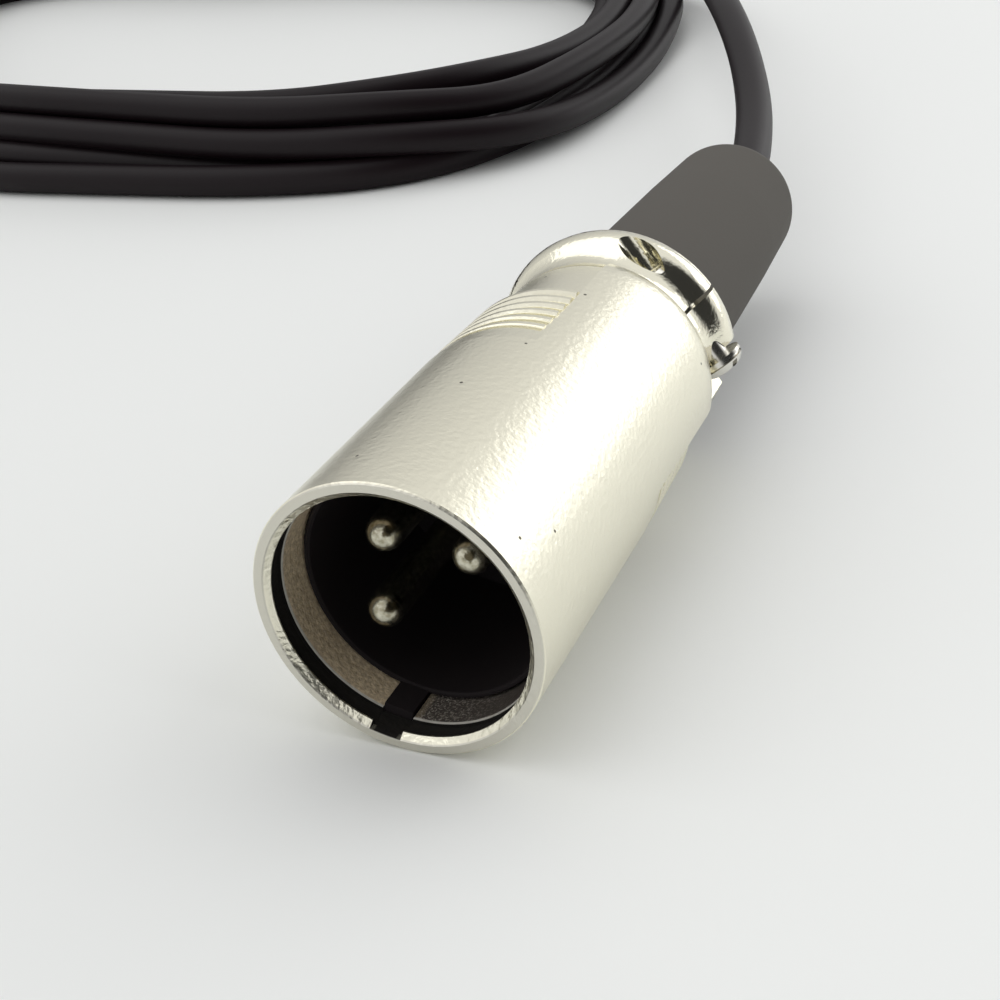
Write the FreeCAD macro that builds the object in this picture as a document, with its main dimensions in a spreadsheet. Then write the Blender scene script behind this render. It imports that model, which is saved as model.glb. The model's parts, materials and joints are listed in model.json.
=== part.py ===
import FreeCAD, Part
import math
import os

import Sketcher
from FreeCAD import Vector

# An adapter cable: a three-pin plug with a metal shell, a rubber boot, a coiled cable and a mini jack.
# Row frame in mm: the plug lies on z = 0 along +Y, its open mouth towards -Y, the cable leaving to +Y.
# Plug frame, used by every piece in the plug: z runs from the mouth's rim to the rear, x lies in the
# clamp's parting plane, and y points out of the loose clamp half.

SIZES = {
    # Where the plug lies in the row frame, and how it is rolled about its own axis.
    "axis_x": -0.4,
    "mouth_y": -36.7,
    "seam_angle": 35.0,
    "key_angle": 137.5,
    # Shell: barrel and mouth. The depths below the barrel's surface keep its walls as it changes.
    "barrel_radius": 9.5,
    "shell_length": 34.8,
    "rim_wall": 0.66,
    "lip_wall": 1.08,
    "lip_depth": 0.5,
    "groove_wall": 0.7,
    "groove_end": 1.85,
    "bore_wall": 1.0,
    "chamber_wall": 1.9,
    "chamber_length": 12.2,
    "neck_wall": 1.0,
    "shoulder_length": 2.6,
    "shoulder_drop": 0.62,
    # Clamp collar behind the shell.
    "collar_length": 5.7,
    "collar_neck_drop": 1.2,
    "collar_thickness": 4.0,
    "seam_gap": 0.3,
    "junction_gap": 0.2,
    "ear_face": 4.15,
    "ear_half_width": 2.2,
    "bridge_drop": 0.9,
    # Finger grips.
    "grip_length": 14.8,
    "grip_depth": 1.0,
    "grip_half_angle": 46.0,
    "rib_setback": 2.3,
    "rib_pitch": 1.24,
    "rib_share": 0.6,
    "valley_depth": 0.12,
    "rib_base": 0.84,
    "rib_crest": 0.34,
    # Key and its slot.
    "key_width": 2.0,
    "key_drop": 0.78,
    "key_front": 1.9,
    "key_end": 6.0,
    # Insert.
    "skirt_front": 4.2,
    "skirt_wall": 0.4,
    "insert_floor": 4.6,
    # Contact pins.
    "pin_radius": 1.2,
    "pin_circle": 4.05,
    "pin_tip": 3.6,
    "pin_tail": 3.4,
    "pin_root_step": 0.2,
    "pin_collar": 0.55,
    "cup_wall": 0.45,
    "cup_depth": 3.1,
    "solder_drop": 1.0,
    # Insert screw.
    "insert_screw_setback": 2.2,
    "insert_screw_radius": 0.9,
    "insert_screw_head": 1.7,
    "insert_screw_reach": 3.6,
    "insert_screw_sink": 0.2,
    # Clamp screws.
    "clamp_screw_radius": 1.0,
    "clamp_screw_wall": 0.65,
    "clamp_screw_setback": 2.5,
    "clamp_screw_end": 3.6,
    "clamp_head_radius": 1.9,
    "clamp_head_gap": 0.35,
    "clamp_head_height": 1.2,
    "clamp_slot": 0.5,
    # Boot and the cable inside it.
    "boot_flange_thickness": 1.95,
    "boot_root_radius": 7.0,
    "boot_waist": 21.7,
    "boot_waist_radius": 6.5,
    "boot_straight": 30.4,
    "boot_bend_radius": 6.15,
    "bend_radius": 60.0,
    "bend_angle": 2.0,
    "cable_radius": 2.0,
    # Wires inside the plug.
    "wire_radius": 0.5,
    "wire_seat": 1.0,
    "wire_circle": 1.05,
    # Coil of cable.
    "coil_width": 16.2,
    "coil_height": 11.5,
    "coil_rounding": 4.5,
    # Mini jack plug.
    "jack_entry_x": -121.4,
    "jack_entry_y": 177.9,
    "handle_length": 36.0,
    "handle_radius": 4.75,
    "relief_length": 10.0,
    "relief_radius": 3.3,
    "jack_radius": 1.75,
    "jack_flange": 2.9,
    "jack_flange_length": 1.0,
    "jack_sleeve_length": 6.3,
    "jack_insulator_length": 0.6,
    "jack_insulator_drop": 0.2,
    "jack_ring_length": 2.1,
    "jack_tip_length": 4.4,
    # Clearances.
    "fit": 0.05,
    "boot_gap": 0.3,
}

PIN_ANGLES = {"pin_1": -2.5, "pin_2": -92.5, "pin_3": -182.5}
WIRES = {"wire_red": "pin_1", "wire_white": "pin_2", "shield_wire": "pin_3"}
RIB_COUNT = 6
JACK_LAYERS = 5

# The lead's route from the boot to the coil, after its first point, which is the boot's exit.
LEAD_ROUTE = [
    (-0.646, 42.59, 9.5),
    (-4.5, 60.3, 9.75),
    (-8.6, 73.8, 10.8),
    (-13.4, 86.6, 12.2),
    (-18.2, 98.1, 13.1),
    (-23.7, 111.3, 13.0),
    (-29.1, 125.3, 10.9),
    (-34.1, 140.3, 7.4),
    (-38.6, 154.3, 4.6),
    (-47.9, 165.6, 3.4),
    (-60.0, 173.7, 2.8),
]

# The outermost turn of the coil, seen from above.
COIL_ROUTE = [
    (-112.4, 53.5),
    (-90.4, 54.8),
    (-68.4, 56.3),
    (-50.4, 61.8),
    (-38.9, 75.3),
    (-34.9, 96.3),
    (-35.9, 120.3),
    (-39.4, 144.3),
    (-48.4, 165.3),
    (-67.4, 178.8),
    (-93.4, 183.8),
    (-121.4, 185.8),
    (-150.4, 185.3),
    (-178.4, 183.3),
    (-199.4, 175.3),
    (-206.4, 158.3),
    (-201.4, 137.3),
    (-187.4, 114.3),
    (-172.9, 94.8),
    (-155.4, 75.8),
    (-134.9, 60.8),
]

# The tail's route from the coil's top turn into the mini jack's handle.
TAIL_ROUTE = [
    (-57.0, 160.2, 8.8),
    (-70.5, 169.7, 12.4),
    (-86.0, 174.7, 13.6),
    (-101.9, 177.6, 14.9),
    (-115.9, 177.9, 16.35),
    (-127.4, 177.9, 16.35),
]


class Size:
    """A size with its number and the formula that binds it to the sheet."""

    def __init__(self, number, formula):
        self.number = number
        self.formula = formula

    def joined(self, other, sign, number):
        return Size(number, "(%s %s %s)" % (self.formula, sign, other.formula))

    def __add__(self, other):
        other = as_size(other)
        return self.joined(other, "+", self.number + other.number)

    def __sub__(self, other):
        other = as_size(other)
        return self.joined(other, "-", self.number - other.number)

    def __mul__(self, other):
        other = as_size(other)
        return self.joined(other, "*", self.number * other.number)

    def __truediv__(self, other):
        other = as_size(other)
        return self.joined(other, "/", self.number / other.number)

    def __radd__(self, other):
        return as_size(other) + self

    def __rsub__(self, other):
        return as_size(other) - self

    def __rmul__(self, other):
        return as_size(other) * self

    def __neg__(self):
        return as_size(-1.0) * self


def as_size(value):
    if isinstance(value, Size):
        return value
    return Size(float(value), repr(float(value)))


def cosine(angle):
    angle = as_size(angle)
    return Size(math.cos(math.radians(angle.number)), "cos(%s)" % angle.formula)


def sine(angle):
    angle = as_size(angle)
    return Size(math.sin(math.radians(angle.number)), "sin(%s)" % angle.formula)


def placement(x=0, y=0, z=0, yaw=0, pitch=0, roll=0):
    """The formula of a placement from sizes."""
    place = "; ".join(as_size(value).formula for value in (x, y, z))
    turn = "; ".join(as_size(value).formula for value in (yaw, pitch, roll))
    vector = "create(<<vector>>; %s)" % place
    rotation = "create(<<rotation>>; %s)" % turn
    return "create(<<placement>>; %s; %s)" % (vector, rotation)


class Sheet:
    """The driving sizes, each a name of this object."""

    def __init__(self, document, sizes):
        cells = document.addObject("Spreadsheet::Sheet", "Sizes")
        for row, (name, value) in enumerate(sizes.items(), start=1):
            cells.set("A%d" % row, str(value))
            cells.setAlias("A%d" % row, name)
            setattr(self, name, Size(float(value), "Sizes.%s" % name))


def derive(size):
    """The radii and stations that follow from the driving sizes, stations counted from the rim."""
    barrel = size.barrel_radius
    size.rim_radius = barrel - size.rim_wall
    size.lip_radius = barrel - size.lip_wall
    size.groove_radius = barrel - size.groove_wall
    size.bore_radius = barrel - size.bore_wall
    size.chamber_radius = barrel - size.chamber_wall
    size.key_top = barrel - size.key_drop
    size.insert_radius = size.lip_radius - size.fit
    size.neck_outer = barrel - size.collar_neck_drop
    size.neck_bore = barrel - size.collar_thickness
    size.bridge_radius = barrel - size.bridge_drop
    size.clamp_hole = size.clamp_screw_radius + size.fit
    size.clamp_screw_place = size.neck_bore + size.clamp_screw_wall + size.clamp_hole
    size.bridge_half = size.clamp_screw_place - size.ear_half_width
    size.shoulder_start = size.shell_length - size.shoulder_length
    size.chamber_end = size.shell_length - size.neck_wall
    size.bore_depth = size.chamber_end - size.chamber_length
    size.collar_end = size.shell_length + size.collar_length
    size.clamp_screw_station = size.collar_end - size.clamp_screw_setback
    size.grip_start = size.shell_length - size.grip_length
    size.rib_first = size.grip_start + size.rib_setback
    size.insert_back = size.bore_depth - size.fit
    size.floor_front = size.insert_back - size.insert_floor
    size.insert_screw_place = size.bore_depth - size.insert_screw_setback
    size.insert_screw_tip = barrel - size.insert_screw_reach
    size.pin_end = size.insert_back + size.pin_tail
    size.pin_root = size.pin_radius + size.pin_root_step
    size.cup_radius = size.pin_root - size.cup_wall
    size.cup_start = size.pin_end - size.cup_depth
    size.solder_top = size.pin_end - size.solder_drop
    size.wire_start = size.solder_top - size.wire_seat
    size.boot_flange_radius = size.chamber_radius - 0.4
    size.boot_flange_start = size.chamber_end - size.fit - size.boot_flange_thickness
    size.boot_sleeve_start = size.collar_end + size.boot_gap
    size.bend_start = size.boot_sleeve_start + size.boot_straight
    size.cable_start = size.boot_flange_start - 0.4


document = FreeCAD.newDocument("adapter_cable")
size = Sheet(document, SIZES)
derive(size)
document.recompute()

PLUG_FRAME = placement(size.axis_x, size.mouth_y, size.barrel_radius, 0, -size.seam_angle, -90)
LEVEL_FRAME = placement(size.axis_x, size.mouth_y, size.barrel_radius, 0, 0, -90)
JACK_HEIGHT = size.coil_height + size.handle_radius + 2 * size.fit
JACK_FRAME = placement(size.jack_entry_x, size.jack_entry_y, JACK_HEIGHT, 180, 90, 0)
HALF = 180.0
WHOLE = 360.0
CLEAR = size.barrel_radius + 3


def new_body(name, frame):
    body = document.addObject("PartDesign::Body", name)
    body.Label = name
    body.setExpression("Placement", frame)
    return body


def new_sketch(body, name, plane, offset=None):
    sketch = body.newObject("Sketcher::SketchObject", name)
    support = [item for item in body.Origin.OriginFeatures if item.Role == plane]
    sketch.AttachmentSupport = [(support[0], "")]
    sketch.MapMode = "FlatFace"
    if offset:
        sketch.setExpression("AttachmentOffset", offset)
    return sketch


def bind(sketch, constraint, formula):
    index = sketch.addConstraint(constraint)
    sketch.setExpression("Constraints[%d]" % index, formula)


def fix_point(sketch, geometry, end, u, v):
    bind(sketch, Sketcher.Constraint("DistanceX", -1, 1, geometry, end, u.number), u.formula)
    bind(sketch, Sketcher.Constraint("DistanceY", -1, 1, geometry, end, v.number), v.formula)


def draw_loop(sketch, corners):
    """A closed loop. A corner is (u, v), or (u, v, mu, mv) where an arc through (mu, mv) leaves it."""
    corners = [tuple(as_size(value) for value in corner) for corner in corners]
    spots = [Vector(corner[0].number, corner[1].number, 0) for corner in corners]
    ends = []
    for index, corner in enumerate(corners):
        start = spots[index]
        stop = spots[(index + 1) % len(spots)]
        if len(corner) == 4:
            middle = Vector(corner[2].number, corner[3].number, 0)
            edge = sketch.addGeometry(Part.Arc(start, middle, stop))
            spot = sketch.addGeometry(Part.Point(middle), True)
            fix_point(sketch, spot, 1, corner[2], corner[3])
            sketch.addConstraint(Sketcher.Constraint("PointOnObject", spot, 1, edge))
        else:
            edge = sketch.addGeometry(Part.LineSegment(start, stop))
        turned = sketch.getPoint(edge, 1).distanceToPoint(start) > 1e-6
        ends.append((edge, 2, 1) if turned else (edge, 1, 2))
    for index, (edge, first, last) in enumerate(ends):
        after = ends[(index + 1) % len(ends)]
        sketch.addConstraint(Sketcher.Constraint("Coincident", edge, last, after[0], after[1]))
        fix_point(sketch, edge, first, corners[index][0], corners[index][1])


def draw_circle(sketch, u, v, radius):
    u, v, radius = as_size(u), as_size(v), as_size(radius)
    circle = Part.Circle(Vector(u.number, v.number, 0), Vector(0, 0, 1), radius.number)
    edge = sketch.addGeometry(circle)
    fix_point(sketch, edge, 3, u, v)
    bind(sketch, Sketcher.Constraint("Radius", edge, radius.number), radius.formula)


def revolve(body, name, plane, loops, angle=WHOLE, middle=False, cut=False, offset=None):
    """Turn closed loops about the sketch's own upright axis."""
    sketch = new_sketch(body, name + "_sketch", plane, offset)
    for corners in loops:
        draw_loop(sketch, corners)
    kind = "PartDesign::Groove" if cut else "PartDesign::Revolution"
    feature = body.newObject(kind, name)
    feature.Profile = sketch
    feature.ReferenceAxis = (sketch, ["V_Axis"])
    feature.setExpression("Angle", as_size(angle).formula)
    feature.Midplane = middle
    return settle(body, feature, cut)


def extrude(body, name, sketch, length, cut=False, back=False, middle=False):
    """Pad a sketch along its normal, or cut it away along its normal."""
    feature = body.newObject("PartDesign::Pocket" if cut else "PartDesign::Pad", name)
    feature.Profile = sketch
    feature.setExpression("Length", as_size(length).formula)
    feature.Midplane = middle
    feature.Reversed = back != cut
    return settle(body, feature, cut)


def settle(body, feature, cut):
    """Recompute, and stop if a feature fails or changes nothing."""
    before = feature.BaseFeature.Shape.Volume if feature.BaseFeature else 0.0
    sketch = feature.Profile[0]
    sketch.Visibility = False
    document.recompute()
    change = feature.Shape.Volume - before
    if (change >= 0) if cut else (change <= 0):
        raise RuntimeError("%s: %s changed nothing" % (body.Label, feature.Name))
    return feature


def collar_outline(front, inner):
    """The collar's section: hollow neck, round bead and rear rim."""
    neck = size.neck_outer
    bead = size.barrel_radius
    rear = size.collar_end
    return [
        (inner, front),
        (neck + 0.15, front, neck, front + 1.5),
        (bead - 0.4, rear - 2.6, bead, rear - 1.6),
        (bead - 0.1, rear - 0.7, bead - 0.25, rear - 0.25),
        (bead - 0.6, rear),
        (inner, rear),
    ]


def shell_outline():
    """The shell's section, from the rim's inner edge round the outside and back through the bore."""
    barrel = size.barrel_radius
    shoulder = barrel - size.shoulder_drop
    end = size.shell_length
    start = size.shoulder_start
    collar = collar_outline(end + 0.15, size.neck_bore)
    return (
        [
            (size.rim_radius, 0),
            (barrel - 0.15, 0),
            (barrel, 0.15),
            (barrel, start, barrel - 0.12, start + 1.3),
            (shoulder + 0.15, end - 0.2),
            (shoulder, end),
            (size.neck_outer + 0.15, end),
        ]
        + collar[1:]
        + [
            (size.neck_bore, size.chamber_end),
            (size.chamber_radius, size.chamber_end),
            (size.chamber_radius, size.bore_depth),
            (size.bore_radius, size.bore_depth),
            (size.bore_radius, size.groove_end),
            (size.groove_radius, size.groove_end),
            (size.groove_radius, size.lip_depth + 0.1),
            (size.lip_radius, size.lip_depth),
            (size.lip_radius, size.lip_depth - 0.1),
        ]
    )


def grip_radius(station):
    """The grip's cone: level with the barrel at its start and deepest at the shell's end."""
    reach = size.shell_length - size.grip_start
    return size.barrel_radius - size.grip_depth * (station - size.grip_start) / reach


def grip_outline(side):
    """What the grip cuts away, on the side of +y or -y."""
    barrel = size.barrel_radius
    end = size.shell_length + 0.1
    start = size.grip_start
    corners = [(barrel + 1, start), (barrel, start), (grip_radius(end), end), (barrel + 1, end)]
    return [(side * u, v) for u, v in corners]


def rib_crest_radius(station):
    """The ribs' crests lie between the grip's cone and the barrel's surface."""
    return grip_radius(station) + (size.barrel_radius - grip_radius(station)) * size.rib_share


def valley_outline(side, index):
    """A shallow valley beside a rib, cut below the grip's cone."""
    station = size.rib_first + (index - 0.5) * size.rib_pitch
    floor = grip_radius(station) - size.valley_depth
    half = (size.rib_pitch - size.rib_base) / 2
    rim = size.barrel_radius
    corners = [(floor, station - half), (rim, station - half), (rim, station + half), (floor, station + half)]
    return [(side * u, v) for u, v in corners]


def rib_outline(side, index):
    station = size.rib_first + index * size.rib_pitch
    root = grip_radius(station) - 0.15
    crest = rib_crest_radius(station)
    base, tip = size.rib_base / 2, size.rib_crest / 2
    corners = [(root, station - base), (crest, station - tip), (crest, station + tip), (root, station + base)]
    return [(side * u, v) for u, v in corners]


def radial_offset(angle, station):
    """A sketch whose upright axis points out of the plug's axis at an angle."""
    return placement(0, 0, station, as_size(angle) - 90, -90, 0)


def insert_screw_outline(fit):
    """Half the section of the sunk screw, or of its hole when fit is a clearance."""
    shank = size.insert_screw_radius + fit
    head = size.insert_screw_head + fit
    top = size.barrel_radius - size.insert_screw_sink
    under = top - 0.15 - (size.insert_screw_head - size.insert_screw_radius)
    return shank, head, top, under


def insert_screw_hole(body, name):
    shank, head, top, under = insert_screw_outline(size.fit)
    corners = [
        (0, size.insert_screw_tip - 0.2),
        (shank, size.insert_screw_tip - 0.2),
        (shank, under),
        (head, top - 0.15),
        (head, size.barrel_radius + 1),
        (0, size.barrel_radius + 1),
    ]
    offset = radial_offset(size.key_angle, size.insert_screw_place)
    revolve(body, name, "XY_Plane", [corners], cut=True, offset=offset)


def key_block(sketch, width, inner, outer):
    half = width / 2
    draw_loop(sketch, [(inner, -half), (outer, -half), (outer, half), (inner, half)])


def make_shell():
    body = new_body("shell", PLUG_FRAME)
    revolve(body, "shell_turned", "XZ_Plane", [shell_outline()])
    for name, side in (("a", 1), ("b", -1)):
        angle = 2 * size.grip_half_angle
        revolve(body, "grip_" + name, "YZ_Plane", [grip_outline(side)], angle, middle=True, cut=True)
        valleys = [valley_outline(side, index) for index in range(RIB_COUNT + 1)]
        revolve(body, "valleys_" + name, "YZ_Plane", valleys, angle - 4, middle=True, cut=True)
        ribs = [rib_outline(side, index) for index in range(RIB_COUNT)]
        revolve(body, "ribs_" + name, "YZ_Plane", ribs, angle - 4, middle=True)
    split = new_sketch(body, "split_sketch", "XY_Plane", placement(0, 0, size.shell_length))
    edge = -size.seam_gap / 2
    draw_loop(split, [(-CLEAR, edge), (CLEAR, edge), (CLEAR, CLEAR), (-CLEAR, CLEAR)])
    extrude(body, "split", split, size.collar_end - size.shell_length + 1, cut=True)
    slot = new_sketch(body, "key_slot_sketch", "XY_Plane", placement(yaw=size.key_angle))
    key_block(slot, size.key_width + size.fit, size.lip_radius - 0.4, size.key_top + size.fit)
    extrude(body, "key_slot", slot, size.key_end + size.fit, cut=True)
    holes = new_sketch(body, "clamp_holes_sketch", "XZ_Plane")
    for side in (1, -1):
        draw_circle(holes, side * size.clamp_screw_place, size.clamp_screw_station, size.clamp_hole)
    extrude(body, "clamp_holes", holes, CLEAR, cut=True)
    insert_screw_hole(body, "insert_screw_hole")
    return body


def make_clamp_half():
    body = new_body("clamp_half", PLUG_FRAME)
    front = size.shell_length + size.junction_gap
    revolve(body, "clamp_turned", "XZ_Plane", [collar_outline(front, size.neck_bore)], HALF)
    long = size.collar_end - size.shell_length + 1
    seam = new_sketch(body, "seam_sketch", "XY_Plane", placement(0, 0, size.shell_length))
    edge = size.seam_gap / 2
    draw_loop(seam, [(-CLEAR, -1), (CLEAR, -1), (CLEAR, edge), (-CLEAR, edge)])
    extrude(body, "seam", seam, long, cut=True)
    ears = new_sketch(body, "ear_sketch", "XY_Plane", placement(0, 0, size.shell_length))
    for side in (1, -1):
        near, far = side * size.bridge_half, side * CLEAR
        draw_loop(ears, [(near, size.ear_face), (far, size.ear_face), (far, CLEAR), (near, CLEAR)])
    extrude(body, "ear_faces", ears, long, cut=True)
    bridge = [
        (size.bridge_radius, size.shell_length),
        (CLEAR, size.shell_length),
        (CLEAR, size.collar_end + 1),
        (size.bridge_radius, size.collar_end + 1),
    ]
    revolve(body, "bridge", "YZ_Plane", [bridge], 112.0, middle=True, cut=True)
    holes = new_sketch(body, "clamp_holes_sketch", "XZ_Plane")
    for side in (1, -1):
        draw_circle(holes, side * size.clamp_screw_place, size.clamp_screw_station, size.clamp_hole)
    extrude(body, "clamp_holes", holes, CLEAR, cut=True, back=True)
    return body


def make_clamp_screw(name, side):
    """A slotted pan-head screw, its own z pointing out of its head."""
    place = placement(side * size.clamp_screw_place, 0, size.clamp_screw_station, 0, 0, -90)
    body = new_body(name, "%s * %s" % (PLUG_FRAME, place))
    shank = size.clamp_screw_radius
    head = size.clamp_head_radius
    under = size.ear_face + size.clamp_head_gap
    top = under + size.clamp_head_height
    corners = [
        (0, -size.clamp_screw_end),
        (shank - 0.3, -size.clamp_screw_end),
        (shank, 0.35 - size.clamp_screw_end),
        (shank, under),
        (head, under),
        (head, under + 0.28),
        (head - 0.25, under + 0.34),
        (head - 0.25, under + 0.46),
        (head - 0.05, under + 0.52, head - 0.42, top - 0.22),
        (0.75, top),
        (0, top),
    ]
    revolve(body, name + "_turned", "XZ_Plane", [corners])
    slot = new_sketch(body, name + "_slot_sketch", "XY_Plane", placement(0, 0, top - 0.55, 30))
    half = size.clamp_slot / 2
    draw_loop(slot, [(-head - 1, -half), (head + 1, -half), (head + 1, half), (-head - 1, half)])
    extrude(body, name + "_slot", slot, 1.0, cut=True)
    return body


def make_insert():
    """The black cup that holds the pins, with its key along the barrel."""
    body = new_body("insert", PLUG_FRAME)
    outer = size.insert_radius
    inner = outer - size.skirt_wall
    front, back = size.skirt_front, size.insert_back
    corners = [
        (inner + 0.12, front),
        (outer - 0.12, front),
        (outer, front + 0.15),
        (outer, back),
        (0, back),
        (0, size.floor_front),
        (inner - 0.4, size.floor_front),
        (inner, size.floor_front - 0.4),
        (inner, front + 0.15),
    ]
    revolve(body, "insert_turned", "XZ_Plane", [corners])
    key = new_sketch(body, "key_sketch", "XY_Plane", placement(0, 0, size.key_front, size.key_angle))
    key_block(key, size.key_width - size.fit, inner + 0.1, size.key_top)
    extrude(body, "key", key, size.key_end - size.key_front)
    holes = new_sketch(body, "pin_holes_sketch", "XY_Plane", placement(0, 0, size.floor_front - 1))
    for angle in PIN_ANGLES.values():
        circle = size.pin_circle
        draw_circle(holes, circle * cosine(angle), circle * sine(angle), size.pin_root)
    extrude(body, "pin_holes", holes, CLEAR, cut=True)
    insert_screw_hole(body, "insert_screw_hole")
    return body


def pin_frame(angle):
    circle = size.pin_circle
    return "%s * %s" % (PLUG_FRAME, placement(circle * cosine(angle), circle * sine(angle), 0, angle))


def make_pin(name, angle):
    """A domed contact with a thicker root in the insert, a collar behind it and a solder cup."""
    body = new_body(name, pin_frame(angle))
    radius = size.pin_radius
    root = size.pin_root
    tip = size.pin_tip
    behind = size.insert_back
    corners = [
        (0, tip, radius * 0.6, tip + 0.22),
        (radius, tip + 0.95),
        (radius, size.floor_front),
        (root, size.floor_front),
        (root, behind),
        (root + 0.3, behind),
        (root + 0.3, behind + size.pin_collar),
        (root, behind + size.pin_collar),
        (root, size.pin_end),
        (size.cup_radius, size.pin_end),
        (size.cup_radius, size.cup_start),
        (0, size.cup_start),
    ]
    revolve(body, name + "_turned", "XZ_Plane", [corners])
    window = new_sketch(body, name + "_window_sketch", "XY_Plane", placement(0, 0, size.cup_start + 1.0))
    side = size.cup_radius * 0.4
    draw_loop(window, [(side, -2), (3, -2), (3, 2), (side, 2)])
    extrude(body, name + "_window", window, size.pin_end - size.cup_start, cut=True)
    return body


def make_solder(name, angle):
    """The solder in a pin's cup, with the wire's end standing in it."""
    body = new_body(name, pin_frame(angle))
    outer = size.cup_radius - size.fit / 2
    hole = size.wire_radius + size.fit / 2
    corners = [
        (0, size.cup_start),
        (outer, size.cup_start),
        (outer, size.solder_top - 0.2),
        (outer - 0.15, size.solder_top),
        (hole, size.solder_top),
        (hole, size.wire_start),
        (0, size.wire_start),
    ]
    revolve(body, name + "_turned", "XZ_Plane", [corners])
    return body


def make_insert_screw():
    frame = placement(0, 0, size.insert_screw_place, size.key_angle, 90, 0)
    body = new_body("insert_screw", "%s * %s" % (PLUG_FRAME, frame))
    shank, head, top, under = insert_screw_outline(as_size(0))
    corners = [
        (0, size.insert_screw_tip),
        (shank - 0.25, size.insert_screw_tip),
        (shank, size.insert_screw_tip + 0.4),
        (shank, under),
        (head, top - 0.15),
        (head, top),
        (0, top),
    ]
    revolve(body, "insert_screw_turned", "XZ_Plane", [corners])
    slot = new_sketch(body, "insert_screw_slot_sketch", "XY_Plane", placement(0, 0, top - 0.4, 35))
    draw_loop(slot, [(-3, -0.25), (3, -0.25), (3, 0.25), (-3, 0.25)])
    extrude(body, "insert_screw_slot", slot, 1.0, cut=True)
    return body


def bend_offset(angle):
    """A place on the cable's bend in the level frame, its plane square to the cable."""
    radius = size.bend_radius
    x = -radius * (1 - cosine(angle))
    z = size.bend_start + radius * sine(angle)
    return placement(x, 0, z, 0, -angle, 0)


def make_boot():
    """The rubber boot: flange in the shell, neck in the clamp, long sleeve, and a tail that bends."""
    body = new_body("boot", LEVEL_FRAME)
    neck = size.neck_bore - size.fit
    inner = size.cable_radius + size.fit
    front = size.boot_flange_start
    sleeve = size.boot_sleeve_start
    corners = [
        (inner, front),
        (size.boot_flange_radius, front),
        (size.boot_flange_radius, size.chamber_end - size.fit),
        (neck, size.chamber_end - size.fit),
        (neck, sleeve),
        (size.boot_root_radius - 0.3, sleeve),
        (size.boot_root_radius, sleeve + 0.4),
        (size.boot_root_radius - 0.05, sleeve + 4),
        (size.boot_waist_radius, sleeve + size.boot_waist),
        (size.boot_bend_radius, size.bend_start),
        (inner, size.bend_start),
    ]
    revolve(body, "boot_turned", "XZ_Plane", [corners])
    radius = size.boot_bend_radius
    sections = []
    for index, (share, ratio) in enumerate(((0, 1), (0.25, 0.985), (0.5, 0.945), (0.75, 0.86), (0.97, 0.6))):
        angle = share * size.bend_angle
        section = new_sketch(body, "boot_section_%d" % index, "XY_Plane", bend_offset(angle))
        draw_circle(section, 0, 0, ratio * radius)
        sections.append(section)
    document.recompute()
    tail = body.newObject("PartDesign::AdditiveLoft", "boot_tail")
    tail.Profile = sections[0]
    tail.Sections = [(section, [""]) for section in sections[1:]]
    settle(body, tail, False)
    bore = body.newObject("PartDesign::SubtractivePipe", "boot_bore")
    hole = new_sketch(body, "boot_hole_sketch", "XY_Plane", placement(0, 0, size.boot_flange_start - 0.5))
    draw_circle(hole, 0, 0, inner)
    bore.Profile = hole
    bore.Spine = bent_path(body, "boot_path", size.boot_flange_start - 0.5)
    settle(body, bore, True)
    return body


def bent_path(body, name, start):
    """The cable's line in the boot: straight, then one arc."""
    path = new_sketch(body, name, "XZ_Plane")
    radius = size.bend_radius
    angle = size.bend_angle
    spots = []
    for share in (0.5, 1.0):
        x = -radius * (1 - cosine(share * angle))
        z = size.bend_start + radius * sine(share * angle)
        spots.append((x, z))
    line = Part.LineSegment(Vector(0, start.number, 0), Vector(0, size.bend_start.number, 0))
    straight = path.addGeometry(line)
    bottom = Vector(0, size.bend_start.number, 0)
    middle = Vector(spots[0][0].number, spots[0][1].number, 0)
    top = Vector(spots[1][0].number, spots[1][1].number, 0)
    arc = path.addGeometry(Part.Arc(bottom, middle, top))
    turned = path.getPoint(arc, 1).distanceToPoint(bottom) > 1e-6
    first, last = (2, 1) if turned else (1, 2)
    fix_point(path, straight, 1, as_size(0), as_size(start))
    fix_point(path, straight, 2, as_size(0), size.bend_start)
    path.addConstraint(Sketcher.Constraint("Coincident", straight, 2, arc, first))
    fix_point(path, arc, last, spots[1][0], spots[1][1])
    bind(path, Sketcher.Constraint("Radius", arc, radius.number), radius.formula)
    return path


def make_cable_end():
    """The cable's end inside the boot."""
    body = new_body("cable_end", LEVEL_FRAME)
    round_sketch = new_sketch(body, "cable_round", "XY_Plane", placement(0, 0, size.cable_start))
    draw_circle(round_sketch, 0, 0, size.cable_radius)
    path = bent_path(body, "cable_path", size.cable_start)
    document.recompute()
    pipe = body.newObject("PartDesign::AdditivePipe", "cable_pipe")
    pipe.Profile = round_sketch
    pipe.Spine = path
    settle(body, pipe, False)
    return body


def bend_radius_at(before, corner, after):
    """The arc at a corner of a route: 0.45 of the shorter run over the tangent of half the turn."""
    into = corner - before
    out = after - corner
    half = into.getAngle(out) / 2
    return 0.45 * min(into.Length, out.Length) / math.tan(half), half


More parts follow.
